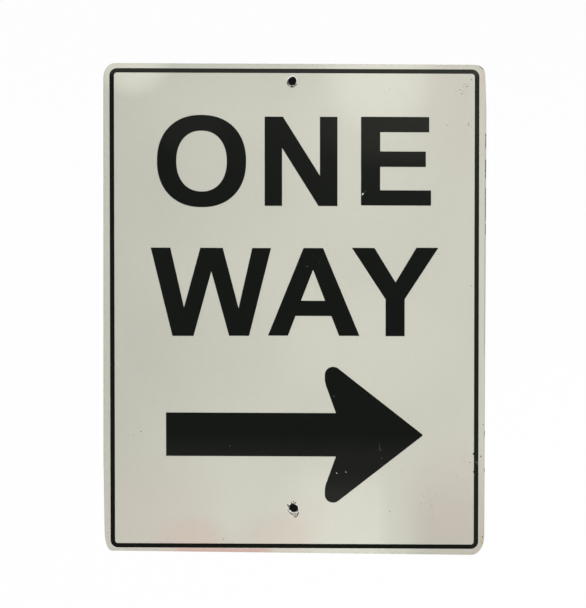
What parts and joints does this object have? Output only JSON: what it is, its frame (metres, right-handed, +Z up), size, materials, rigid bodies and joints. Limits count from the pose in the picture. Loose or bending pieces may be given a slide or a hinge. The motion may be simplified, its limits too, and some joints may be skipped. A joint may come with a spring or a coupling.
{
  "type": "one way sign",
  "caption": "Upright rectangular road sign: an aluminium plate with a white reflective face, a black border line and right-pointing arrow, and bolt holes on one upright line.",
  "frame": {"origin": "centre of the printed layout, on the plate's back face where it meets the post", "axes": "+Z up, +Y out of the back towards the post, so the face looks along -Y and the arrow points to +X"},
  "size_m": [0.4509, 0.0024, 0.6017],
  "materials": {
    "bare_aluminium": "mill-finish rolled sheet, lightly scuffed, with sheared edges",
    "white_sheeting": "satin white retroreflective film, weathered to a warm grey",
    "black_print": "satin black print with small chips"
  },
  "bodies": {
    "root": {"sign_plate": "bare_aluminium", "reflective_sheet": "white_sheeting", "border_line": "black_print", "arrow": "black_print"}
  },
  "joints": []
}
